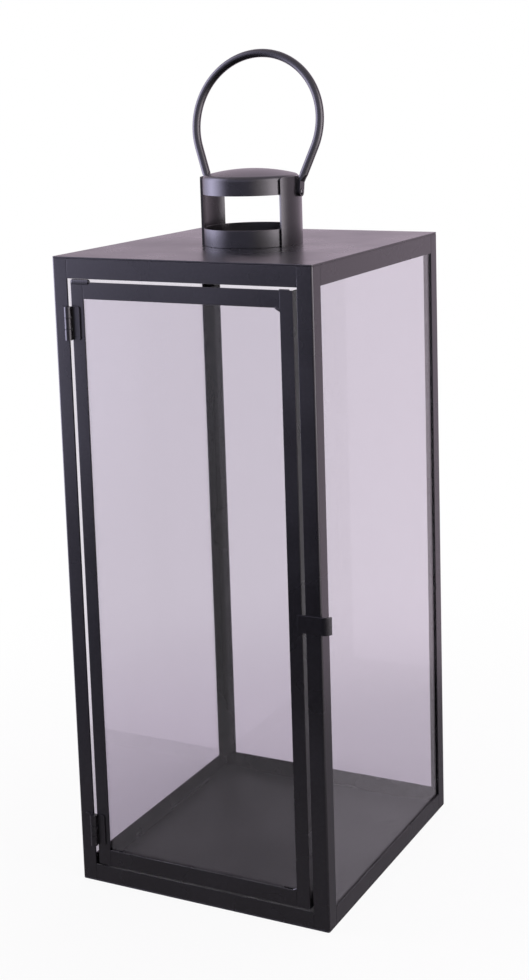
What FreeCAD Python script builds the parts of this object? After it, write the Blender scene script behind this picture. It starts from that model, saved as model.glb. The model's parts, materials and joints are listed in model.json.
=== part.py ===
import FreeCAD, Part
import math
import os

# A tall candle lantern: a welded metal frame with three fixed panes, a glass door on two
# butt hinges, a round vent crown on the lid and a ring handle that swings on two rivets.
# Millimetres. +Z is up, the door faces -Y, and +X is on the latch side of the door.
# The origin is on the floor, under the middle of the body.

Vector = FreeCAD.Vector
X_AXIS = Vector(1, 0, 0)
Y_AXIS = Vector(0, 1, 0)
Z_AXIS = Vector(0, 0, 1)

# ---- Body -----------------------------------------------------------------------------
body_width = 240.0            # over the posts, along X
body_depth = 255.0            # over the posts, along Y
body_height = 550.0           # floor to the top of the lid
plate_thickness = 1.5         # lid and base plate
corner_radius = 2.0           # outside corner of the posts and of both plates
post_leg = 14.0               # both legs of a post's angle section
post_thickness = 1.5
rail_thickness = 1.5
top_rail_height = 16.5
bottom_rail_height = 14.0
vent_radius = 28.0            # round hole in the lid, under the crown

# ---- Fixed panes ----------------------------------------------------------------------
glass_thickness = 2.0
pane_edge_gap = 0.3           # pane to the posts and to the next pane
pane_top_gap = 3.0            # pane to the underside of the lid
clip_thickness = 0.8
clip_width = 17.0
clip_foot = 6.0               # the leg that is spot-welded to the underside of the lid
clip_drop = 15.0              # the leg that hangs down over the pane
clip_inset = 35.0             # middle of a clip from the corner of the body
strip_width = 3.0             # glazing strips on the base plate, at the foot of each pane
strip_height = 1.2
strip_end_gap = 38.0          # end of a strip from the corner of the body

# ---- Door -----------------------------------------------------------------------------
door_side_gap = 3.2
door_top_gap = 2.6
door_bottom_gap = 1.6
door_sheet = 1.5
stile_width = 12.0            # front leg of a stile's angle section
stile_depth = 12.0            # side leg, along the gap
door_rail_height = 14.0
door_glass_lap = 9.0          # how far the pane reaches up behind a door rail
door_glass_gap = 0.4          # pane to the side legs of the stiles
door_clip_width = 8.0
door_clip_inset = 9.0         # middle of a clip from the inner edge of a stile
door_clip_weld = 3.6          # leg of the clip that is welded to the rail
door_clip_lap = 9.4           # leg of the clip behind the pane

# ---- Hinges ---------------------------------------------------------------------------
hinge_height = 28.0
hinge_leaf_width = 10.0       # pin axis to the outer edge of a leaf
hinge_leaf_thickness = 1.2
hinge_corner_radius = 2.0     # outer corners of a leaf
knuckle_radius = 3.0
knuckle_gap = 0.3
pin_radius = 1.5
pin_clearance = 0.05          # radial, in the knuckle that turns
upper_hinge_drop = 41.0       # top of the body to the top of the upper hinge
lower_hinge_rise = 35.0       # floor to the bottom of the lower hinge

# ---- Latch ----------------------------------------------------------------------------
latch_height = 15.0
latch_thickness = 1.5
latch_lap = 3.5               # how far the plate lies on the stile
latch_level = 262.0           # middle of the plate above the floor
latch_curl_radius = 5.8       # inside radius of the curled finger end
latch_curl_angle = 75.0
latch_curl_gap = 0.5          # corner of the post to the start of the curl

# ---- Crown ----------------------------------------------------------------------------
crown_radius = 41.6           # outside of the lower ring and of the cap
crown_sheet = 1.5
crown_ring_height = 15.0
crown_window_height = 28.9    # open gap between the ring and the cap
cap_skirt_height = 12.2
cap_shoulder_radius = 4.0
cap_dome_radius = 154.0
strap_thickness = 2.0
strap_half_angle = 27.2       # degrees of the round that a strap covers, each way
strap_height = 58.5
strap_corner_radius = 3.0

# ---- Ring handle ----------------------------------------------------------------------
wire_radius = 3.6
ring_radius = 60.2            # middle of the wire
ring_rise = 58.9              # pivots to the middle of the ring
handle_lean = 10.0            # degrees that the ring stands back from upright
pivot_height = 45.2           # pivots above the lid
pivot_offset = 4.5            # pivots behind the middle of the straps
eye_radius = 4.2              # half the width of the flattened end of the wire
eye_thickness = 2.8
eye_gap = 0.3                 # eye to the strap, and eye to the rivet head
bend_height = 8.5             # pivot to the bend, where the flat end meets the neck
neck_height = 15.0            # pivot to the full round of the wire
rivet_radius = 2.0
rivet_clearance = 0.05        # radial, in the eye
rivet_head_radius = 2.8
rivet_head_height = 1.0

# ---- Places that follow from the sizes -------------------------------------------------
half_width = body_width / 2
half_depth = body_depth / 2
floor_top = plate_thickness
lid_underside = body_height - plate_thickness
pane_face_x = half_width - post_thickness        # outer face of the side panes
pane_face_y = half_depth - post_thickness        # outer face of the back pane
top_rail_foot = lid_underside - top_rail_height
bottom_rail_head = floor_top + bottom_rail_height

opening_edge = half_width - post_leg
door_edge = opening_edge - door_side_gap
door_top = top_rail_foot - door_top_gap
door_foot = bottom_rail_head + door_bottom_gap
door_front = -half_depth
door_back = door_front + door_sheet              # back of the rails and front legs
stile_inner_edge = door_edge - stile_width
door_glass_back = door_back + glass_thickness
door_glass_top = door_top - door_rail_height + door_glass_lap
door_glass_foot = door_foot + door_rail_height - door_glass_lap

hinge_axis_x = -(opening_edge + door_edge) / 2
hinge_axis_y = door_front - knuckle_radius
knuckle_height = (hinge_height - 2 * knuckle_gap) / 3
upper_hinge_foot = body_height - upper_hinge_drop - hinge_height
hinge_feet = {"upper": upper_hinge_foot, "lower": lower_hinge_rise}

cap_foot = body_height + crown_ring_height + crown_window_height
cap_crease = cap_foot + cap_skirt_height
strap_outer_face = crown_radius + strap_thickness
pivot_z = body_height + pivot_height
eye_inner_face = strap_outer_face + eye_gap
eye_middle = eye_inner_face + eye_thickness / 2


# ---- Helpers --------------------------------------------------------------------------
def block(x0, x1, y0, y1, z0, z1):
    """A box between two corners, in any order along each axis."""
    low = Vector(min(x0, x1), min(y0, y1), min(z0, z1))
    return Part.makeBox(abs(x1 - x0), abs(y1 - y0), abs(z1 - z0), low)


def outline_face(edges):
    """A flat face inside a closed chain of edges."""
    return Part.Face(Part.Wire(edges))


def segment(start, end):
    return Part.LineSegment(start, end).toShape()


def arc(start, middle, end):
    return Part.Arc(start, middle, end).toShape()


def rounded_plate(width, depth, foot, thickness):
    """A flat plate centred on Z, with the body's corner radius."""
    plate = block(-width / 2, width / 2, -depth / 2, depth / 2, foot, foot + thickness)
    corners = [edge for edge in plate.Edges if abs(edge.tangentAt(edge.FirstParameter).z) > 0.9]
    return plate.makeFillet(corner_radius, corners)


def angle_bar(side_x, side_y, corner_x, corner_y, leg_x, leg_y, thickness, radius, foot, head):
    """An upright angle section. side_x and side_y say which way its legs run from the corner."""
    def at(dx, dy):
        return Vector(corner_x + side_x * dx, corner_y + side_y * dy, foot)

    bulge = radius * (1 - math.sqrt(0.5))
    edges = [
        segment(at(radius, 0), at(leg_x, 0)),
        segment(at(leg_x, 0), at(leg_x, thickness)),
        segment(at(leg_x, thickness), at(thickness, thickness)),
        segment(at(thickness, thickness), at(thickness, leg_y)),
        segment(at(thickness, leg_y), at(0, leg_y)),
        segment(at(0, leg_y), at(0, radius)),
        arc(at(0, radius), at(bulge, bulge), at(radius, 0)),
    ]
    return outline_face(edges).extrude(Vector(0, 0, head - foot))


def save(name, shape):
    """Write one piece, or one group of separate pieces, as a STEP file."""
    shape.exportStep(os.path.join("parts", name + ".step"))
    print(f"{name:26s} {len(shape.Solids):3d} solid(s) {shape.Volume / 1000:10.2f} cm3")


# ---- Frame ----------------------------------------------------------------------------
def make_frame():
    pieces = {}
    pieces["base_plate"] = rounded_plate(body_width, body_depth, 0, plate_thickness)
    lid = rounded_plate(body_width, body_depth, lid_underside, plate_thickness)
    vent = Part.makeCylinder(vent_radius, plate_thickness, Vector(0, 0, lid_underside))
    pieces["top_plate"] = lid.cut(vent)
    for row, row_side in (("front", -1), ("back", 1)):
        for column, column_side in (("left", -1), ("right", 1)):
            pieces[f"post_{row}_{column}"] = angle_bar(
                -column_side, -row_side, column_side * half_width, row_side * half_depth,
                post_leg, post_leg, post_thickness, corner_radius, floor_top, lid_underside)
    levels = (("bottom", floor_top, bottom_rail_head), ("top", top_rail_foot, lid_underside))
    for level, foot, head in levels:
        for row, side in (("front", -1), ("back", 1)):
            outer = side * half_depth
            pieces[f"{level}_rail_{row}"] = block(
                -opening_edge, opening_edge, outer, outer - side * rail_thickness, foot, head)
        for column, side in (("left", -1), ("right", 1)):
            outer = side * half_width
            reach = half_depth - post_leg
            pieces[f"{level}_rail_{column}"] = block(
                outer, outer - side * rail_thickness, -reach, reach, foot, head)
    return pieces


# ---- Fixed panes, clips and strips -------------------------------------------------------
def pane_clip(inner, along):
    """One bent clip under the lid, behind a pane whose inner face is at x = inner."""
    near = along - clip_width / 2
    far = along + clip_width / 2
    head = lid_underside
    leg = block(inner - clip_thickness, inner, near, far, head, head - clip_drop)
    foot = block(inner - clip_foot, inner, near, far, head, head - clip_thickness)
    return leg.fuse(foot).removeSplitter()


def make_panes():
    """Three panes. Each is held by two clips at the top and a strip along its foot."""
    pieces = {}
    head = lid_underside - pane_top_gap
    side_reach = pane_face_y - pane_edge_gap
    for column, side in (("left", -1), ("right", 1)):
        outer = side * pane_face_x
        pieces[f"glass_{column}"] = block(
            outer, outer - side * glass_thickness, -side_reach, side_reach, floor_top, head)
    back_reach = pane_face_x - glass_thickness - pane_edge_gap
    pieces["glass_back"] = block(
        -back_reach, back_reach, pane_face_y - glass_thickness, pane_face_y, floor_top, head)
    clips = []
    walls = (("right", 0, pane_face_x, half_depth), ("back", 90, pane_face_y, half_width),
             ("left", 180, pane_face_x, half_depth))
    for wall, turn, face, half_span in walls:
        inner = face - glass_thickness
        strip_reach = half_span - strip_end_gap
        strip = block(inner, inner - strip_width, -strip_reach, strip_reach,
                      floor_top, floor_top + strip_height)
        strip.rotate(Vector(0, 0, 0), Z_AXIS, turn)
        pieces[f"glazing_strip_{wall}"] = strip
        for side in (-1, 1):
            clip = pane_clip(inner, side * (half_span - clip_inset))
            clip.rotate(Vector(0, 0, 0), Z_AXIS, turn)
            clips.append(clip)
    pieces["glass_clips"] = Part.makeCompound(clips)
    return pieces


# ---- Door -----------------------------------------------------------------------------
def door_clip(middle, weld_end, pane_end, step_level):
    """One Z-shaped clip: welded to a rail at one end, it steps back over the pane's edge."""
    way = math.copysign(1, pane_end - weld_end)

    def at(depth, level):
        return Vector(middle - door_clip_width / 2, door_back + depth, level)

    thick = clip_thickness
    near_step = step_level - way * thick
    corners = [
        at(0, weld_end), at(thick, weld_end), at(thick, near_step),
        at(glass_thickness + thick, near_step), at(glass_thickness + thick, pane_end),
        at(glass_thickness, pane_end), at(glass_thickness, step_level), at(0, step_level),
    ]
    face = Part.Face(Part.makePolygon(corners + [corners[0]]))
    return face.extrude(Vector(door_clip_width, 0, 0))


def make_door():
    pieces = {}
    for column, side in (("left", -1), ("right", 1)):
        pieces[f"door_stile_{column}"] = angle_bar(
            -side, 1, side * door_edge, door_front, stile_width, stile_depth, door_sheet,
            door_sheet / 2, door_foot, door_top)
    rails = (("bottom", door_foot), ("top", door_top - door_rail_height))
    for level, foot in rails:
        pieces[f"door_rail_{level}"] = block(
            -stile_inner_edge, stile_inner_edge, door_front, door_back,
            foot, foot + door_rail_height)
    glass_edge = door_edge - door_sheet - door_glass_gap
    pieces["door_glass"] = block(
        -glass_edge, glass_edge, door_back, door_glass_back, door_glass_foot, door_glass_top)
    clips = []
    for side in (-1, 1):
        middle = side * (stile_inner_edge - door_clip_inset)
        clips.append(door_clip(middle, door_glass_top + door_clip_weld,
                               door_glass_top - door_clip_lap, door_glass_top))
        clips.append(door_clip(middle, door_glass_foot - door_clip_weld,
                               door_glass_foot + door_clip_lap, door_glass_foot))
    pieces["door_glass_clips"] = Part.makeCompound(clips)
    pieces["latch_plate"] = make_latch()
    return pieces


def make_latch():
    """A flat plate from the stile over the post, whose free end curls back round the corner."""
    face_y = door_front
    front_y = face_y - latch_thickness
    start_x = door_edge - latch_lap
    bend_x = half_width + latch_curl_gap
    centre = Vector(bend_x, face_y + latch_curl_radius, 0)

    def on_curl(radius, degrees):
        turn = math.radians(degrees)
        return centre + Vector(radius * math.sin(turn), -radius * math.cos(turn), 0)

    outer = latch_curl_radius + latch_thickness
    end = latch_curl_angle
    edges = [
        segment(Vector(start_x, face_y, 0), Vector(start_x, front_y, 0)),
        segment(Vector(start_x, front_y, 0), Vector(bend_x, front_y, 0)),
        arc(Vector(bend_x, front_y, 0), on_curl(outer, end / 2), on_curl(outer, end)),
        segment(on_curl(outer, end), on_curl(latch_curl_radius, end)),
        arc(on_curl(latch_curl_radius, end), on_curl(latch_curl_radius, end / 2),
            Vector(bend_x, face_y, 0)),
        segment(Vector(bend_x, face_y, 0), Vector(start_x, face_y, 0)),
    ]
    plate = outline_face(edges).extrude(Vector(0, 0, latch_height))
    plate.translate(Vector(0, 0, latch_level - latch_height / 2))
    return plate


# ---- Hinges ---------------------------------------------------------------------------
def hinge_leaf(side, foot, own_knuckles, other_knuckles, bore_radius):
    """One leaf. side: -1 on the post, 1 on the door. Knuckles count from 0 at the bottom."""
    def knuckle(number, radius, spare):
        start = foot + number * (knuckle_height + knuckle_gap) - spare
        centre = Vector(hinge_axis_x, hinge_axis_y, start)
        return Part.makeCylinder(radius, knuckle_height + 2 * spare, centre)

    edge = hinge_axis_x + side * hinge_leaf_width
    leaf = block(hinge_axis_x, edge, door_front, door_front - hinge_leaf_thickness,
                 foot, foot + hinge_height)
    corners = [line for line in leaf.Edges
               if abs(line.tangentAt(line.FirstParameter).y) > 0.9
               and abs(line.CenterOfMass.x - edge) < hinge_corner_radius]
    leaf = leaf.makeFillet(hinge_corner_radius, corners)
    for number in own_knuckles:
        leaf = leaf.fuse(knuckle(number, knuckle_radius, 0))
    for number in other_knuckles:
        leaf = leaf.cut(knuckle(number, knuckle_radius + knuckle_gap, knuckle_gap))
    bore = Part.makeCylinder(bore_radius, hinge_height, Vector(hinge_axis_x, hinge_axis_y, foot))
    return leaf.cut(bore).removeSplitter()


def make_hinges():
    frame_pieces = {}
    door_pieces = {}
    for place, foot in hinge_feet.items():
        frame_pieces[f"hinge_leaf_frame_{place}"] = hinge_leaf(-1, foot, (0, 2), (1,), pin_radius)
        door_pieces[f"hinge_leaf_door_{place}"] = hinge_leaf(
            1, foot, (1,), (0, 2), pin_radius + pin_clearance)
        axis_foot = Vector(hinge_axis_x, hinge_axis_y, foot)
        frame_pieces[f"hinge_pin_{place}"] = Part.makeCylinder(pin_radius, hinge_height, axis_foot)
    return frame_pieces, door_pieces


# ---- Crown ----------------------------------------------------------------------------
def cap_profile():
    """Half section of the domed cap: skirt, rounded shoulder and shallow dome."""
    shoulder_x = crown_radius - cap_shoulder_radius
    dome_reach = cap_dome_radius - cap_shoulder_radius
    dome_centre_z = cap_crease - math.sqrt(dome_reach ** 2 - shoulder_x ** 2)
    meet = math.asin(shoulder_x / dome_reach)

    def on_shoulder(radius, angle):
        return Vector(shoulder_x + radius * math.sin(angle), 0,
                      cap_crease + radius * math.cos(angle))

    def on_dome(radius, angle):
        return Vector(radius * math.sin(angle), 0, dome_centre_z + radius * math.cos(angle))

    def wall(shoulder_radius, dome_radius):
        side = on_shoulder(shoulder_radius, math.pi / 2)
        middle = on_shoulder(shoulder_radius, (math.pi / 2 + meet) / 2)
        top = on_shoulder(shoulder_radius, meet)
        skirt = segment(Vector(side.x, 0, cap_foot), side)
        dome = arc(top, on_dome(dome_radius, meet / 2), on_dome(dome_radius, 0))
        return [skirt, arc(side, middle, top), dome]

    outer = wall(cap_shoulder_radius, cap_dome_radius)
    inner = wall(cap_shoulder_radius - crown_sheet, cap_dome_radius - crown_sheet)
    apex = on_dome(cap_dome_radius, 0)
    inner_apex = on_dome(cap_dome_radius - crown_sheet, 0)
    rim = segment(Vector(crown_radius, 0, cap_foot), Vector(crown_radius - crown_sheet, 0, cap_foot))
    return outline_face(outer + [segment(apex, inner_apex)] + inner[::-1] + [rim])


def make_strap(side):
    """An upright strap rolled round the crown, with rounded top corners and the rivet's hole."""
    def on_round(radius, degrees):
        turn = math.radians(degrees)
        return Vector(radius * math.cos(turn), radius * math.sin(turn), body_height)

    half = strap_half_angle
    inner = crown_radius
    outer = strap_outer_face
    edges = [
        arc(on_round(inner, -half), on_round(inner, 0), on_round(inner, half)),
        segment(on_round(inner, half), on_round(outer, half)),
        arc(on_round(outer, half), on_round(outer, 0), on_round(outer, -half)),
        segment(on_round(outer, -half), on_round(inner, -half)),
    ]
    strap = outline_face(edges).extrude(Vector(0, 0, strap_height))
    head = body_height + strap_height
    top_corners = [edge for edge in strap.Edges
                   if edge.CenterOfMass.z > head - 0.1 and edge.Length < 2 * strap_thickness]
    strap = strap.makeFillet(strap_corner_radius, top_corners)
    hole = Part.makeCylinder(rivet_radius, outer, Vector(0, side * pivot_offset, pivot_z), X_AXIS)
    strap = strap.cut(hole)
    if side < 0:
        strap.rotate(Vector(0, 0, 0), Z_AXIS, 180)
    return strap


def make_crown():
    pieces = {}
    foot = Vector(0, 0, body_height)
    tube = Part.makeCylinder(crown_radius, crown_ring_height, foot)
    bore = Part.makeCylinder(crown_radius - crown_sheet, crown_ring_height, foot)
    pieces["crown_ring"] = tube.cut(bore)
    pieces["crown_cap"] = cap_profile().revolve(Vector(0, 0, 0), Z_AXIS, 360)
    pieces["crown_strap_left"] = make_strap(-1)
    pieces["crown_strap_right"] = make_strap(1)
    return pieces


# ---- Ring handle ------------------------------------------------------------------------
def make_rivet(side):
    """A domed rivet through the eye and the strap, peened flush on the inside."""
    head_face = eye_inner_face + eye_thickness + eye_gap
    shank_length = head_face - crown_radius
    shank = Part.makeCylinder(rivet_radius, shank_length, Vector(crown_radius, 0, 0), X_AXIS)
    dome_radius = (rivet_head_radius ** 2 + rivet_head_height ** 2) / (2 * rivet_head_height)
    ball_centre = head_face + rivet_head_height - dome_radius
    ball = Part.makeSphere(dome_radius, Vector(ball_centre, 0, 0))
    keep = block(head_face, head_face + rivet_head_height, -rivet_head_radius, rivet_head_radius,
                 -rivet_head_radius, rivet_head_radius)
    rivet = shank.fuse(ball.common(keep)).removeSplitter()
    if side < 0:
        rivet.rotate(Vector(0, 0, 0), Z_AXIS, 180)
    rivet.translate(Vector(0, pivot_offset, pivot_z))
    return rivet


def wire_section(centre, across, radius):
    """A circle in four arcs, starting at a corner direction, square to the XZ direction."""
    corners = []
    middles = []
    for quarter in range(4):
        for turn, points in ((quarter * 90 - 135, corners), (quarter * 90 - 90, middles)):
            angle = math.radians(turn)
            points.append(centre + across * (radius * math.cos(angle))
                          + Y_AXIS * (radius * math.sin(angle)))
    corners.append(corners[0])
    return Part.Wire([arc(corners[i], middles[i], corners[i + 1]) for i in range(4)])


def make_handle_side():
    """Eye, flat end, neck and leg on the +X side, upright, with the pivot at height 0."""
    bend = Vector(eye_middle, 0, bend_height)
    rise = ring_rise - bend_height
    bend_to_ring = math.hypot(eye_middle, rise)
    leg_angle = math.atan2(rise, -eye_middle) - math.asin(ring_radius / bend_to_ring)
    leg_length = math.sqrt(bend_to_ring ** 2 - ring_radius ** 2)
    direction = Vector(math.cos(leg_angle), 0, math.sin(leg_angle))
    across = Vector(direction.z, 0, -direction.x)
    neck_top = bend + direction * ((neck_height - bend_height) / direction.z)
    leg_top = bend + direction * leg_length

    eye = Part.makeCylinder(eye_radius, eye_thickness, Vector(eye_inner_face, 0, 0), X_AXIS)
    flat_end = block(eye_inner_face, eye_inner_face + eye_thickness, -eye_radius, eye_radius,
                     0, bend_height)
    foot_corners = [Vector(eye_middle + dx * eye_thickness / 2, dy * eye_radius, bend_height)
                    for dx, dy in ((-1, -1), (1, -1), (1, 1), (-1, 1), (-1, -1))]
    foot_section = Part.makePolygon(foot_corners)
    neck = Part.makeLoft([foot_section, wire_section(neck_top, across, wire_radius)], True, True)
    leg = Part.makeCylinder(wire_radius, (leg_top - neck_top).Length, neck_top, direction)
    bore = Part.makeCylinder(rivet_radius + rivet_clearance, eye_thickness,
                             Vector(eye_inner_face, 0, 0), X_AXIS)
    side = eye.fuse([flat_end, neck, leg]).cut(bore)
    return side, leg_top, direction


def make_handle():
    right, leg_top, direction = make_handle_side()
    left = right.mirror(Vector(0, 0, 0), X_AXIS)
    section = Part.Face(Part.Wire(Part.Circle(leg_top, direction, wire_radius).toShape()))
    ring_centre = Vector(0, 0, ring_rise)
    below = math.atan2(ring_rise - leg_top.z, leg_top.x)
    sweep = 180 + 2 * math.degrees(below)
    hoop = section.revolve(ring_centre, -Y_AXIS, sweep)
    handle = hoop.fuse([right, left]).removeSplitter()
    handle.rotate(Vector(0, 0, 0), X_AXIS, -handle_lean)
    handle.translate(Vector(0, pivot_offset, pivot_z))
    return handle


# ---- Everything together ----------------------------------------------------------------
def main():
    os.makedirs("parts", exist_ok=True)
    frame_hinges, door_hinges = make_hinges()
    groups = [make_frame(), make_panes(), make_crown(), frame_hinges, make_door(), door_hinges]
    groups.append({"handle_rivets": Part.makeCompound([make_rivet(-1), make_rivet(1)])})
    groups.append({"ring_handle": make_handle()})
    for pieces in groups:
        for name, shape in pieces.items():
            save(name, shape)


main()
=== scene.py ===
# %% [markdown]
# # A tall candle lantern
#
# The lantern was built in CAD and comes in as a fixed frame of forty pieces, in metres, with
# the floor at height zero, the door facing -Y and its latch on the +X side. This lesson dresses
# it: a camera, a studio, black powder coat, tinted glass, softened sheet edges and welds.

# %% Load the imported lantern
import json
import math
import bpy
from mathutils import Matrix, Vector


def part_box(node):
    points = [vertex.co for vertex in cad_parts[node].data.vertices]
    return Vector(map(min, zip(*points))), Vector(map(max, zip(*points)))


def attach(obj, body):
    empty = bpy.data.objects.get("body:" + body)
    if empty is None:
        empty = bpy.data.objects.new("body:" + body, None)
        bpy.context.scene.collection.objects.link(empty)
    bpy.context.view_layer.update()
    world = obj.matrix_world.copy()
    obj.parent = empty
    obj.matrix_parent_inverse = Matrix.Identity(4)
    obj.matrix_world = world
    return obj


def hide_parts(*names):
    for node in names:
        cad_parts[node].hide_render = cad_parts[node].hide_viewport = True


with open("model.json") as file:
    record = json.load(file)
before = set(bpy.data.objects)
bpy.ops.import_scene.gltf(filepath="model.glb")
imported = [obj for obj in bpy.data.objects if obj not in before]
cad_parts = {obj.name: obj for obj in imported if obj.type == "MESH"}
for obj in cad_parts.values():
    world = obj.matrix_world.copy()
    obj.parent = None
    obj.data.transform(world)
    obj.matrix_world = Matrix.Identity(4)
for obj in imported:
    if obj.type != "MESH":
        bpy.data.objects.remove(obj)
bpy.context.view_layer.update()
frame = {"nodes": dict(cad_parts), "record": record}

body_of_node = {}
for body_name, node_names in frame["record"]["behaviour"]["bodies"].items():
    for node_name in node_names:
        body_of_node[node_name] = body_name

# %% [markdown]
# ## Camera
#
# The picture is matched from a place a good metre away, to the right of the door and a little
# above the lid. A long lens keeps the uprights nearly parallel. The lantern isn't in the middle
# of the picture, so the lens is shifted instead of turned, which keeps the perspective as it is.
# The sensor's width lies along the longer side of the picture, which is its height.

# %% Stand the camera in front of the right-hand post
picture_height_px = 980
sensor_width_mm = 36.0
focal_length_px = 1605.185
lens_shift_x = -0.0821
lens_shift_y = -0.1633
farthest_seen = 100.0
camera_place = Vector((0.661125, -1.217750, 0.694981))
camera_yaw = math.radians(25.2703)
camera_pitch = math.radians(9.1415)
camera_roll = math.radians(-1.3217)

camera_data = bpy.data.cameras.new("lantern_camera")
camera = bpy.data.objects.new("lantern_camera", camera_data)
bpy.context.scene.collection.objects.link(camera)
camera_data.sensor_width = sensor_width_mm
camera_data.lens = focal_length_px / picture_height_px * sensor_width_mm
camera_data.shift_x = lens_shift_x
camera_data.shift_y = lens_shift_y
camera_data.clip_end = farthest_seen
turn = Matrix.Rotation(camera_yaw, 4, "Z")
tilt = Matrix.Rotation(math.radians(90) - camera_pitch, 4, "X")
roll = Matrix.Rotation(camera_roll, 4, "Z")
camera.matrix_world = Matrix.Translation(camera_place) @ turn @ tilt @ roll
bpy.context.scene.camera = camera
print("lens in mm:", round(camera_data.lens, 2))

# %% [markdown]
# ## Helpers for node trees
#
# The studio, the floor, the paint and the glass are all node trees. A few short functions add
# the nodes that come back again and again, so that each tree reads as a list of what it does.

# %% Wire, compute and remap
def wire(tree, from_socket, to_socket):
    """Join two sockets of a node tree."""
    tree.links.new(from_socket, to_socket)


def math_step(tree, operation, first, second=None):
    """One step of arithmetic on a socket and, where it needs two, a socket or a number."""
    step = tree.nodes.new("ShaderNodeMath")
    step.operation = operation
    wire(tree, first, step.inputs[0])
    if isinstance(second, float):
        step.inputs[1].default_value = second
    elif second is not None:
        wire(tree, second, step.inputs[1])
    return step.outputs["Value"]


def ranged(tree, value, from_low, from_high, to_low=0.0, to_high=1.0, way="SMOOTHSTEP"):
    """A value brought from one range to another, with a soft start and end or in a line."""
    step = tree.nodes.new("ShaderNodeMapRange")
    step.interpolation_type = way
    step.inputs["From Min"].default_value = from_low
    step.inputs["From Max"].default_value = from_high
    step.inputs["To Min"].default_value = to_low
    step.inputs["To Max"].default_value = to_high
    wire(tree, value, step.inputs["Value"])
    return step.outputs["Result"]


print("helpers:", wire.__name__, math_step.__name__, ranged.__name__)

# %% Mix, light and speckle
def mix_values(tree, share, first, second):
    """A value that goes from the first to the second as the share goes from 0 to 1."""
    mix = tree.nodes.new("ShaderNodeMix")
    wire(tree, share, mix.inputs["Factor"])
    wire(tree, first, mix.inputs["A"])
    wire(tree, second, mix.inputs["B"])
    return mix.outputs["Result"]


def mix_shaders(tree, share, first, second):
    """A shader that goes from the first to the second as the share goes from 0 to 1."""
    mix = tree.nodes.new("ShaderNodeMixShader")
    wire(tree, share, mix.inputs["Fac"])
    wire(tree, first, mix.inputs[1])
    wire(tree, second, mix.inputs[2])
    return mix.outputs["Shader"]


def plain_light(tree, node_type, colour):
    """Light of one colour: a Background in the air, an Emission on a sheet."""
    light = tree.nodes.new(node_type)
    light.inputs["Color"].default_value = colour
    return light.outputs[0]


def speckle(tree, scale, detail):
    """A noise that stays on its piece. A larger scale gives a finer grain."""
    place = tree.nodes.new("ShaderNodeTexCoord")
    noise = tree.nodes.new("ShaderNodeTexNoise")
    noise.inputs["Scale"].default_value = scale
    noise.inputs["Detail"].default_value = detail
    wire(tree, place.outputs["Object"], noise.inputs["Vector"])
    return noise.outputs["Fac"]


print("more helpers:", mix_values.__name__, mix_shaders.__name__, plain_light.__name__,
      speckle.__name__)

# %% [markdown]
# ## What the black paint sees
#
# Black satin paint has almost no colour of its own. What the eye reads as its form is what it
# mirrors, so the studio matters more than the paint. The room is written as a ring of light
# round the lantern: a rosy white sweep behind it, a tall cool soft box on the left, a plainer
# one on the right, and a dimmer room in front. The ring is a colour ramp that is wrapped round
# the compass, so each stop below is a direction, a brightness and a tint.
#
# The same ring serves twice. The air shows it above the horizon. The floor shows it below, as
# a sheet that the light reaches less and less towards the lantern.

# %% The stops in the ring of light
rosy_tint = (1.13, 0.94, 1.12)
cool_tint = (1.00, 0.95, 1.30)
plain_tint = (1.06, 0.97, 1.06)


def room_stops(front_level, back_level):
    """Directions in degrees from the front, right-hand side positive, with level and tint."""
    return [
        (-180, back_level, rosy_tint), (-125, 0.50, rosy_tint),
        (-98, 2.60, cool_tint), (-78, 7.00, cool_tint), (-58, 5.80, cool_tint),
        (-40, 1.90, cool_tint), (-30, front_level, cool_tint), (24, front_level, cool_tint),
        (40, 1.30, plain_tint), (64, 3.20, plain_tint), (82, 6.80, plain_tint),
        (102, 6.80, plain_tint), (110, 0.70, rosy_tint), (180, back_level, rosy_tint),
    ]


print("stops in the ring of light:", len(room_stops(1.0, 1.0)))

# %% Wrap the stops round the compass
front_share = 0.5
full_turn = 360


def compass_share(tree, direction):
    """The share of a full turn in a direction, which is front_share straight in front."""
    compass = tree.nodes.new("ShaderNodeMapping")
    compass.inputs["Rotation"].default_value = (0.0, 0.0, math.radians(90))
    wire(tree, direction, compass.inputs["Vector"])
    heading = tree.nodes.new("ShaderNodeTexGradient")
    heading.gradient_type = "RADIAL"
    wire(tree, compass.outputs["Vector"], heading.inputs["Vector"])
    return heading.outputs["Fac"]


def ring_of_light(tree, share, front_level, back_level):
    """The colour of the room for a share of a full turn."""
    ramp = tree.nodes.new("ShaderNodeValToRGB")
    wire(tree, share, ramp.inputs["Fac"])
    elements = ramp.color_ramp.elements
    stops = room_stops(front_level, back_level)
    # A new ramp has its two end stops already, so only the stops between them are added.
    elements[0].position = front_share + stops[0][0] / full_turn
    elements[-1].position = front_share + stops[-1][0] / full_turn
    for degrees, level, tint in stops[1:-1]:
        elements.new(front_share + degrees / full_turn)
    for element, (degrees, level, tint) in zip(elements, stops):
        element.color = [level * part for part in tint] + [1.0]
    return ramp.outputs["Color"]


print("the ring's ends:", room_stops(1.0, 1.0)[0][0], "and", room_stops(1.0, 1.0)[-1][0], "degrees")

# %% [markdown]
# ## Studio air
#
# The world gives each kind of ray what it needs. The camera, also through glass, sees plain
# white. The gloss of the paint sees the ring of light, with a pale ceiling over it. Diffuse
# rays get one soft level from all sides. Rays find this world only by hitting it, because the
# gloss and the diffuse rays see different things in it.
#
# What the camera sees is mixed in last: a ray that has gone through glass counts as glossy too.

# %% What the paint sees of the air
ceiling_light = (1.12, 1.02, 1.20, 1.0)
ceiling_starts = 0.45
ceiling_is_full = 0.85
front_room_level = 1.20
back_room_level = 1.06

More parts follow.
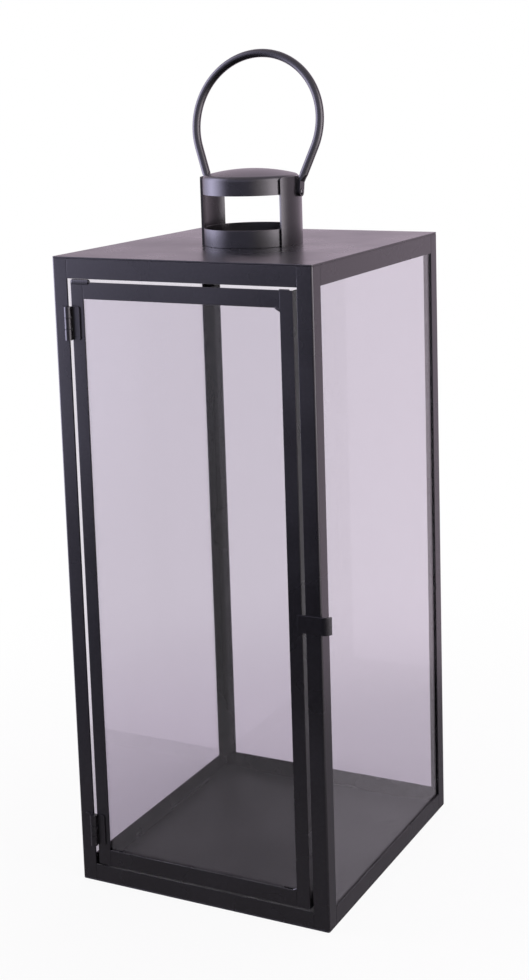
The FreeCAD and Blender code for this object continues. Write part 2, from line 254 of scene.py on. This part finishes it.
studio = bpy.data.worlds.new("studio_air")
bpy.context.scene.world = studio
studio.cycles.sampling_method = "NONE"
studio.use_nodes = True
air = studio.node_tree
air.nodes.clear()
air_direction = air.nodes.new("ShaderNodeTexCoord").outputs["Generated"]
air_axes = air.nodes.new("ShaderNodeSeparateXYZ")
wire(air, air_direction, air_axes.inputs["Vector"])
air_ring = ring_of_light(air, compass_share(air, air_direction), front_room_level, back_room_level)
is_ceiling = ranged(air, air_axes.outputs["Z"], ceiling_starts, ceiling_is_full)
ceiling_blend = air.nodes.new("ShaderNodeMix")
ceiling_blend.data_type = "RGBA"
ceiling_blend.inputs["B"].default_value = ceiling_light
wire(air, air_ring, ceiling_blend.inputs["A"])
wire(air, is_ceiling, ceiling_blend.inputs["Factor"])
mirrored_air = air.nodes.new("ShaderNodeBackground")
wire(air, ceiling_blend.outputs["Result"], mirrored_air.inputs["Color"])
print("room levels in front and behind:", front_room_level, back_room_level)

# %% What the camera sees of the air
studio_white = (1.0, 1.0, 1.0, 1.0)
soft_air = (0.36, 0.34, 0.37, 1.0)


def is_seen(tree, light_path):
    """One for a ray from the camera, also where it has gone through glass."""
    return math_step(tree, "MAXIMUM", light_path.outputs["Is Camera Ray"],
                     light_path.outputs["Is Transmission Ray"])


diffuse_air = plain_light(air, "ShaderNodeBackground", soft_air)
seen_air = plain_light(air, "ShaderNodeBackground", studio_white)
air_path = air.nodes.new("ShaderNodeLightPath")
soft_or_mirrored = mix_shaders(air, air_path.outputs["Is Glossy Ray"], diffuse_air,
                               mirrored_air.outputs["Background"])
air_choice = mix_shaders(air, is_seen(air, air_path), soft_or_mirrored, seen_air)
air_output = air.nodes.new("ShaderNodeOutputWorld")
wire(air, air_choice, air_output.inputs["Surface"])
print("studio air:", len(air.nodes), "nodes")

# %% [markdown]
# ## Paper floor
#
# The floor is a wide sheet of white paper. Near the lantern the camera sees the paper as it is
# lit, with the lantern's soft shadow, and further out more and more of its own white. Through
# the panes it sees more of the lit paper.
#
# In the black paint the sheet shows the ring of light. Its brightness falls off towards the
# lantern, over a few metres in front and over a few hand's breadths behind. Right round the
# foot the ring gives way to one even, dim glow. As in the air, rays find the sheet only by
# hitting it.

# %% Lay the paper floor
floor_size = 24.0

bpy.ops.object.select_all(action="DESELECT")
bpy.ops.mesh.primitive_plane_add(size=floor_size, location=(0, 0, 0))
paper_floor = bpy.context.object
paper_floor.name = "paper_floor"
paper = bpy.data.materials.new("white_paper")
paper.use_nodes = True
paper.cycles.emission_sampling = "NONE"
sheet = paper.node_tree
sheet.nodes.clear()
paper_floor.data.materials.append(paper)
print("floor laid:", floor_size, "m across")

# %% Measure how far each spot of the paper is from the lantern
paper_place = sheet.nodes.new("ShaderNodeTexCoord").outputs["Object"]
paper_length = sheet.nodes.new("ShaderNodeVectorMath")
paper_length.operation = "LENGTH"
wire(sheet, paper_place, paper_length.inputs[0])
reach = paper_length.outputs["Value"]
print("the floor's patterns go by:", reach.name, "in metres")

# %% What the paint sees of the paper
front_paper_level = 0.26
back_paper_level = 0.85
near_paper_light = (0.32, 0.29, 0.33, 1.0)
behind_starts = 0.27
behind_is_full = 0.34
front_fall_reach = (0.7, 2.8)
front_fall_share = (0.17, 1.0)
back_fall_reach = (0.22, 0.6)
back_fall_share = (0.3, 1.0)
foot_reach = (0.25, 0.70)

paper_share = compass_share(sheet, paper_place)
paper_ring = ring_of_light(sheet, paper_share, front_paper_level, back_paper_level)
from_front = math_step(sheet, "ABSOLUTE", math_step(sheet, "SUBTRACT", paper_share, front_share))
is_behind = ranged(sheet, from_front, behind_starts, behind_is_full)
# Painted shadow: the ring emitted by the sheet grows darker towards the lantern, in front and
# behind.
front_fall = ranged(sheet, reach, *front_fall_reach, *front_fall_share)
back_fall = ranged(sheet, reach, *back_fall_reach, *back_fall_share)
mirrored_paper = sheet.nodes.new("ShaderNodeEmission")
wire(sheet, paper_ring, mirrored_paper.inputs["Color"])
wire(sheet, mix_values(sheet, is_behind, front_fall, back_fall), mirrored_paper.inputs["Strength"])
# Painted shade and light: round the foot the sheet emits one even, dim colour in place of the ring.
near_glow = plain_light(sheet, "ShaderNodeEmission", near_paper_light)
is_past_the_foot = ranged(sheet, reach, *foot_reach)
gloss_paper = mix_shaders(sheet, is_past_the_foot, near_glow, mirrored_paper.outputs["Emission"])
print("paper levels in front and behind:", front_paper_level, back_paper_level)

# %% What the camera sees of the paper
paper_colour = (0.88, 0.87, 0.89, 1.0)
open_reach = (0.2, 0.8)
open_white = (0.92, 1.0)
glazed_reach = (0.15, 0.75)
glazed_white = (0.25, 0.96)

lit_paper = sheet.nodes.new("ShaderNodeBsdfDiffuse")
lit_paper.inputs["Color"].default_value = paper_colour
own_white = plain_light(sheet, "ShaderNodeEmission", studio_white)
paper_path = sheet.nodes.new("ShaderNodeLightPath")
open_share = ranged(sheet, reach, *open_reach, *open_white)
glazed_share = ranged(sheet, reach, *glazed_reach, *glazed_white)
white_share = mix_values(sheet, paper_path.outputs["Is Transmission Ray"], open_share, glazed_share)
seen_paper = mix_shaders(sheet, white_share, lit_paper.outputs["BSDF"], own_white)
lit_or_mirrored = mix_shaders(sheet, paper_path.outputs["Is Glossy Ray"],
                              lit_paper.outputs["BSDF"], gloss_paper)
paper_choice = mix_shaders(sheet, is_seen(sheet, paper_path), lit_or_mirrored, seen_paper)
paper_output = sheet.nodes.new("ShaderNodeOutputMaterial")
wire(sheet, paper_choice, paper_output.inputs["Surface"])
print("paper floor:", len(sheet.nodes), "nodes")

# %% [markdown]
# ## Lamps
#
# Three soft boxes light what is not gloss: the paper, the dust on the paint and the film on the
# glass. They stay out of the mirror images, which the ring of light already draws.

# %% Three soft boxes: left, right and above
lantern_middle = (0.0, 0.0, 0.35)
lamp_tint = (1.0, 0.95, 1.0)


def soft_box(name, place, width, height, watts):
    """A rectangular lamp, turned to face the lantern and unseen in the gloss."""
    lamp_data = bpy.data.lights.new(name, "AREA")
    lamp_data.shape = "RECTANGLE"
    lamp_data.size = width
    lamp_data.size_y = height
    lamp_data.energy = watts
    lamp_data.color = lamp_tint
    lamp = bpy.data.objects.new(name, lamp_data)
    bpy.context.scene.collection.objects.link(lamp)
    lamp.location = place
    aim = Vector(lantern_middle) - Vector(place)
    lamp.rotation_euler = aim.to_track_quat("-Z", "Y").to_euler()
    lamp.visible_glossy = False
    lamp.visible_transmission = False
    return lamp


left_box = soft_box("soft_box_left", place=(-1.95, -0.75, 0.95), width=0.8, height=1.3, watts=14)
right_box = soft_box("soft_box_right", place=(2.0, -0.35, 0.85), width=0.7, height=1.3, watts=12)
top_box = soft_box("soft_box_top", place=(0.2, 0.5, 2.4), width=1.6, height=1.2, watts=22)
bpy.context.scene.view_settings.view_transform = "Standard"
print("lamps:", left_box.name, right_box.name, top_box.name)

# %% [markdown]
# ## Black powder coat
#
# Every metal piece of the lantern is coated with black powder that was baked on. Such a coat is
# smooth but not flat: it has a fine orange-peel skin with grains under a millimetre, it is a
# little shinier in some places than in others, and it carries a breath of pale dust. One noise
# makes the skin as a bump, a wide one moves the roughness, and a third speckles the colour.
#
# Three coats come out of one recipe. The frame has the plain one. Hands have worn the ring and
# its rivets a little smoother, and soot has dulled the floor sheet, where the candle stands.

# %% Mix the powder coat
dust_grain = 420.0
dust_starts = 0.42
dust_is_full = 0.78
wiped_grain = 14.0
wiped_starts = 0.3
wiped_is_full = 0.7
skin_grain = 1100.0
skin_strength = 0.18
skin_height = 0.0002


def powder_coat(name, dark, pale, smooth, rough):
    """A black coat. dark and pale are its colours, smooth and rough its roughness limits."""
    coat = bpy.data.materials.new(name)
    coat.use_nodes = True
    tree = coat.node_tree
    shader = tree.nodes["Principled BSDF"]
    dust_ramp = tree.nodes.new("ShaderNodeValToRGB")
    dust_ramp.color_ramp.elements[0].position = dust_starts
    dust_ramp.color_ramp.elements[0].color = dark
    dust_ramp.color_ramp.elements[1].position = dust_is_full
    dust_ramp.color_ramp.elements[1].color = pale
    wire(tree, speckle(tree, dust_grain, detail=5.0), dust_ramp.inputs["Fac"])
    wire(tree, dust_ramp.outputs["Color"], shader.inputs["Base Color"])
    wiped = speckle(tree, wiped_grain, detail=3.0)
    roughness = ranged(tree, wiped, wiped_starts, wiped_is_full, smooth, rough, way="LINEAR")
    wire(tree, roughness, shader.inputs["Roughness"])
    skin = tree.nodes.new("ShaderNodeBump")
    skin.inputs["Strength"].default_value = skin_strength
    skin.inputs["Distance"].default_value = skin_height
    wire(tree, speckle(tree, skin_grain, detail=2.0), skin.inputs["Height"])
    wire(tree, skin.outputs["Normal"], shader.inputs["Normal"])
    return coat


print("dust grain, wiped grain and skin grain:", dust_grain, wiped_grain, skin_grain)

# %% The three coats
coat_dark = (0.0044, 0.0042, 0.0048, 1.0)
coat_pale = (0.0100, 0.0095, 0.0110, 1.0)
frame_coat = powder_coat("black_powder_coat", coat_dark, coat_pale, smooth=0.24, rough=0.32)
worn_coat = powder_coat("worn_black_coat", coat_dark, coat_pale, smooth=0.22, rough=0.30)
sooty_coat = powder_coat("sooty_floor_coat", coat_dark, coat_pale, smooth=0.50, rough=0.62)
print("coats:", frame_coat.name, worn_coat.name, sooty_coat.name)

# %% [markdown]
# ## Tinted panes
#
# The panes look like plain window glass, and against the white sweep they turn it a pale
# lavender grey. A Principled shader with full transmission bends and mirrors as glass does. Its
# colour is what one pane lets through, and a faint film moves its roughness. Lamps must reach
# the inside of the lantern, and glass stops their shadow rays, so for those rays a see-through
# shader takes its place.

# %% Pour the glass
pane_tint = (0.779, 0.745, 0.800, 1.0)
glass_bend = 1.5
film_grain = 9.0
film_starts = 0.45
film_is_full = 0.75
film_roughness = 0.02

pane_glass = bpy.data.materials.new("lavender_pane")
pane_glass.use_nodes = True
pane_tree = pane_glass.node_tree
pane_shader = pane_tree.nodes["Principled BSDF"]
pane_shader.inputs["Base Color"].default_value = pane_tint
pane_shader.inputs["Transmission Weight"].default_value = 1.0
pane_shader.inputs["IOR"].default_value = glass_bend
pane_film = ranged(pane_tree, speckle(pane_tree, film_grain, detail=4.0), film_starts, film_is_full,
                   0.0, film_roughness, way="LINEAR")
wire(pane_tree, pane_film, pane_shader.inputs["Roughness"])
print("glass tint:", pane_tint[:3])

# %% Let the lamps through the glass
lamp_way = pane_tree.nodes.new("ShaderNodeBsdfTransparent")
lamp_way.inputs["Color"].default_value = pane_tint
pane_path = pane_tree.nodes.new("ShaderNodeLightPath")
pane_mix = mix_shaders(pane_tree, pane_path.outputs["Is Shadow Ray"], pane_shader.outputs["BSDF"],
                       lamp_way.outputs["BSDF"])
wire(pane_tree, pane_mix, pane_tree.nodes["Material Output"].inputs["Surface"])
print("pane glass:", len(pane_tree.nodes), "nodes")

# %% Give every piece of the frame its finish
panes = ("glass_left", "glass_right", "glass_back", "door_glass")
worn_pieces = ("ring_handle", "handle_rivets")
for node_name, node in frame["nodes"].items():
    finish = frame_coat
    if node_name in panes:
        finish = pane_glass
    if node_name in worn_pieces:
        finish = worn_coat
    if node_name == "base_plate":
        finish = sooty_coat
    node.material_slots[0].material = finish
print("finished pieces:", len(frame["nodes"]))

# %% [markdown]
# ## Softened edges
#
# Cut sheet metal has sharp edges in CAD, but a baked coat rounds them off by a few tenths of a
# millimetre, and each round edge catches a thin line of light. A bevel does that. The CAD mesh
# is loose triangles, so each piece is copied, its doubles are merged and its flat faces joined,
# and the copy with its bevel stands in for the piece. Weighted normals then keep the flat faces
# flat up to the bevel.
#
# The panes, the wire ring, the rivets, the hinge pins and the pressed cap with its round
# shoulder have no cut sheet edge that shows, so they stay as they are.

# %% Copy a piece and round its edges
merge_distance = 0.000002
flat_within = math.radians(0.2)
edge_turns_over = math.radians(40)
smooth_within = math.radians(35)
rounding_steps = 2
flat_face_weight = 80


def round_the_edges(node_name, edge_radius):
    """A copy of a CAD piece with rounded edges, which replaces it."""
    source = frame["nodes"][node_name]
    piece = bpy.data.objects.new(node_name + "_coated", source.data.copy())
    bpy.context.scene.collection.objects.link(piece)
    bpy.ops.object.select_all(action="DESELECT")
    piece.select_set(True)
    bpy.context.view_layer.objects.active = piece
    bpy.ops.object.mode_set(mode="EDIT")
    bpy.ops.mesh.select_all(action="SELECT")
    bpy.ops.mesh.remove_doubles(threshold=merge_distance)
    bpy.ops.mesh.customdata_custom_splitnormals_clear()
    bpy.ops.mesh.dissolve_limited(angle_limit=flat_within)
    bpy.ops.object.mode_set(mode="OBJECT")
    rounding = piece.modifiers.new("coat_rounding", "BEVEL")
    rounding.width = edge_radius
    rounding.segments = rounding_steps
    rounding.limit_method = "ANGLE"
    rounding.angle_limit = edge_turns_over
    bpy.ops.object.modifier_apply(modifier=rounding.name)
    bpy.ops.object.shade_smooth_by_angle(angle=smooth_within)
    evening = piece.modifiers.new("flat_faces_stay_flat", "WEIGHTED_NORMAL")
    evening.weight = flat_face_weight
    evening.keep_sharp = True
    bpy.ops.object.modifier_apply(modifier=evening.name)
    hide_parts(node_name)
    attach(piece, body_of_node[node_name])
    return piece


print("edges rounded where they turn over", round(math.degrees(edge_turns_over)), "degrees")

# %% Round the sheet metal of the body, the crown and the door
sheet_edge = 0.0004
thin_edge = 0.00025
thin_pieces = ("glass_clips", "door_glass_clips", "glazing_strip_left", "glazing_strip_right",
               "glazing_strip_back")
left_as_they_are = panes + worn_pieces + ("hinge_pin_upper", "hinge_pin_lower", "crown_cap")
coated = {}
for node_name in sorted(frame["nodes"]):
    if node_name in left_as_they_are:
        continue
    edge_radius = thin_edge if node_name in thin_pieces else sheet_edge
    coated[node_name] = round_the_edges(node_name, edge_radius)
print("softened pieces:", len(coated))

# %% [markdown]
# ## Welds
#
# The door's rails are welded between its stiles, and nobody ground these welds away. A bead of
# weld is a row of small round ripples that run into each other. One ripple is a sphere, squashed
# to the bead's width and height. An array repeats it along the seam, and a remesh melts the row
# into one skin, as the molten metal did.

# %% A bead of weld
ripple_segments = 24
ripple_rings = 16
ripple_spacing = 0.7
grid_steps_per_ripple = 8
calm_strength = 0.5
calm_rounds = 4


def weld_bead(name, start, end, half_depth, half_height, body_name):
    """A row of fused ripples from start to end, which rides on a body."""
    way = Vector(end) - Vector(start)
    ripple_length = half_height
    ripple_count = max(2, round(way.length / (ripple_length * ripple_spacing)) + 1)
    bpy.ops.object.select_all(action="DESELECT")
    bpy.ops.mesh.primitive_uv_sphere_add(segments=ripple_segments, ring_count=ripple_rings,
                                         radius=1.0, location=start,
                                         scale=(ripple_length, half_depth, half_height))
    bead = bpy.context.object
    bead.name = name
    bpy.ops.object.transform_apply(location=True, rotation=True, scale=True)
    row = bead.modifiers.new("ripples", "ARRAY")
    row.count = ripple_count
    row.use_relative_offset = False
    row.use_constant_offset = True
    row.constant_offset_displace = way / (ripple_count - 1)
    bpy.ops.object.modifier_apply(modifier=row.name)
    melt = bead.modifiers.new("molten_skin", "REMESH")
    melt.mode = "VOXEL"
    melt.voxel_size = half_height / grid_steps_per_ripple
    bpy.ops.object.modifier_apply(modifier=melt.name)
    calm = bead.modifiers.new("calm_ripples", "SMOOTH")
    calm.factor = calm_strength
    calm.iterations = calm_rounds
    bpy.ops.object.modifier_apply(modifier=calm.name)
    bpy.ops.object.shade_smooth()
    bead.data.materials.append(frame_coat)
    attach(bead, body_name)
    return bead


print("ripples overlap to", ripple_spacing, "of their length")

# %% Find the corners of the door
mm = 0.001
rail_low, rail_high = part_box("door_rail_top")
foot_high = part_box("door_rail_bottom")[1]
sheet_middle = (rail_low.y + rail_high.y) / 2
seam_height = rail_high.z


def on_the_sheet(x, z):
    """A point in the middle of the door's sheet."""
    return (x, sheet_middle, z)


print("the door's top rail in mm:", round((rail_high.x - rail_low.x) / mm, 1))

# %% Weld the seams at the two ends of the top rail
left_bead_over_stile = 9.5 * mm
left_bead_over_rail = 4.5 * mm
right_bead_starts = 0.5 * mm
right_bead_ends = 8.0 * mm

seam_weld_left = weld_bead(
    "door_seam_weld_top_left",
    start=on_the_sheet(rail_low.x - left_bead_over_stile, seam_height),
    end=on_the_sheet(rail_low.x + left_bead_over_rail, seam_height),
    half_depth=1.5 * mm, half_height=2.5 * mm, body_name="door")
seam_weld_right = weld_bead(
    "door_seam_weld_top_right",
    start=on_the_sheet(rail_high.x + right_bead_starts, seam_height),
    end=on_the_sheet(rail_high.x + right_bead_ends, seam_height),
    half_depth=1.0 * mm, half_height=0.9 * mm, body_name="door")
print("seam welds:", seam_weld_left.name, seam_weld_right.name)

# %% Weld the two inner corners on the latch side
top_bead_along_rail = 3.2 * mm
top_bead_from_stile = 0.3 * mm
top_bead_drop = 1.6 * mm
bottom_bead_along_rail = 2.6 * mm
bottom_bead_from_stile = 0.2 * mm
bottom_bead_rise = 1.2 * mm

corner_weld_top = weld_bead(
    "door_corner_weld_top_right",
    start=on_the_sheet(rail_high.x - top_bead_along_rail, rail_low.z),
    end=on_the_sheet(rail_high.x - top_bead_from_stile, rail_low.z - top_bead_drop),
    half_depth=1.0 * mm, half_height=1.4 * mm, body_name="door")
corner_weld_bottom = weld_bead(
    "door_corner_weld_bottom_right",
    start=on_the_sheet(foot_high.x - bottom_bead_along_rail, foot_high.z),
    end=on_the_sheet(foot_high.x - bottom_bead_from_stile, foot_high.z + bottom_bead_rise),
    half_depth=1.0 * mm, half_height=1.1 * mm, body_name="door")
print("corner welds:", corner_weld_top.name, corner_weld_bottom.name)
